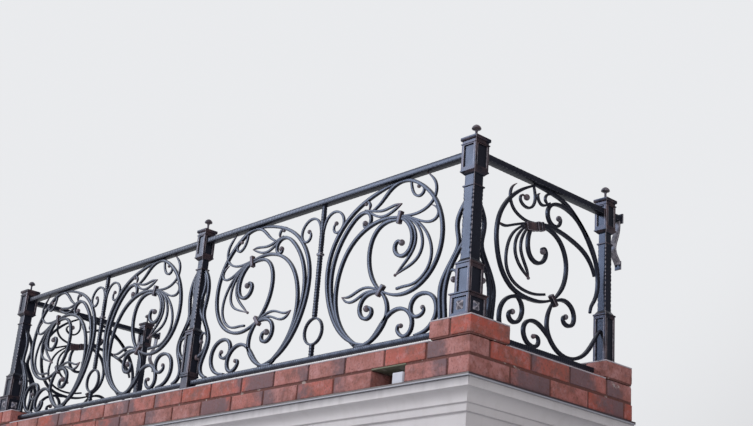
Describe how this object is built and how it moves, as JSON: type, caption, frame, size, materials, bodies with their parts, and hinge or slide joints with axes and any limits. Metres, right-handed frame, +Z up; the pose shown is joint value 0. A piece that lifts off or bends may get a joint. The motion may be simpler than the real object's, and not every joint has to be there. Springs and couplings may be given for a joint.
{
  "type": "wrought iron balcony",
  "caption": "Balcony with a forged scrollwork railing between square boxed posts, on a low brick curb over a moulded stone base.",
  "frame": {"origin": "centre of the underside of the stone base", "axes": "+X along the facade, +Y into the house wall, +Z up"},
  "size_m": [4.148, 1.078, 1.463],
  "materials": {
    "wrought_iron": "forged iron, blackened, satin, with a rubbed copper patina on leaf tips and scroll ends",
    "brick": "fired clay facing brick in red and dark purple, dark mortar",
    "render": "smooth painted render on moulded stone",
    "screed": "trowelled cement screed",
    "sheet_metal": "grey coated sheet, folded",
    "white_block": "plain white foam block, slightly soiled"
  },
  "bodies": {
    "root": {"floor_slab": "screed", "cornice_front": "render", "cornice_left": "render", "cornice_right": "render", "flashing": "sheet_metal", "curb_front_upper": "brick", "curb_front_lower": "brick", "curb_left": "brick", "curb_right": "brick", "corner_block_left": "brick", "corner_block_right": "brick", "wall_block_left": "brick", "wall_block_right": "brick", "gap_filler": "white_block", "corner_post_left": "wrought_iron", "corner_post_right": "wrought_iron", "centre_post": "wrought_iron", "end_post_left": "wrought_iron", "end_post_right": "wrought_iron", "handrail_front_left": "wrought_iron", "handrail_front_right": "wrought_iron", "handrail_side_left": "wrought_iron", "handrail_side_right": "wrought_iron", "handrail_stub_left": "wrought_iron", "handrail_stub_right": "wrought_iron", "bottom_rail_front_left": "wrought_iron", "bottom_rail_front_right": "wrought_iron", "bottom_rail_side_left": "wrought_iron", "bottom_rail_side_right": "wrought_iron", "mullion_left": "wrought_iron", "mullion_right": "wrought_iron", "scroll_panel_1": "wrought_iron", "scroll_panel_2": "wrought_iron", "scroll_panel_3": "wrought_iron", "scroll_panel_4": "wrought_iron", "scroll_panel_side_left": "wrought_iron", "scroll_panel_side_right": "wrought_iron", "post_scroll_corner_left": "wrought_iron", "post_scroll_corner_right": "wrought_iron", "post_scroll_centre": "wrought_iron", "post_scroll_side_left": "wrought_iron", "post_scroll_side_right": "wrought_iron", "wall_scroll_left": "wrought_iron", "wall_scroll_right": "wrought_iron"}
  },
  "joints": []
}
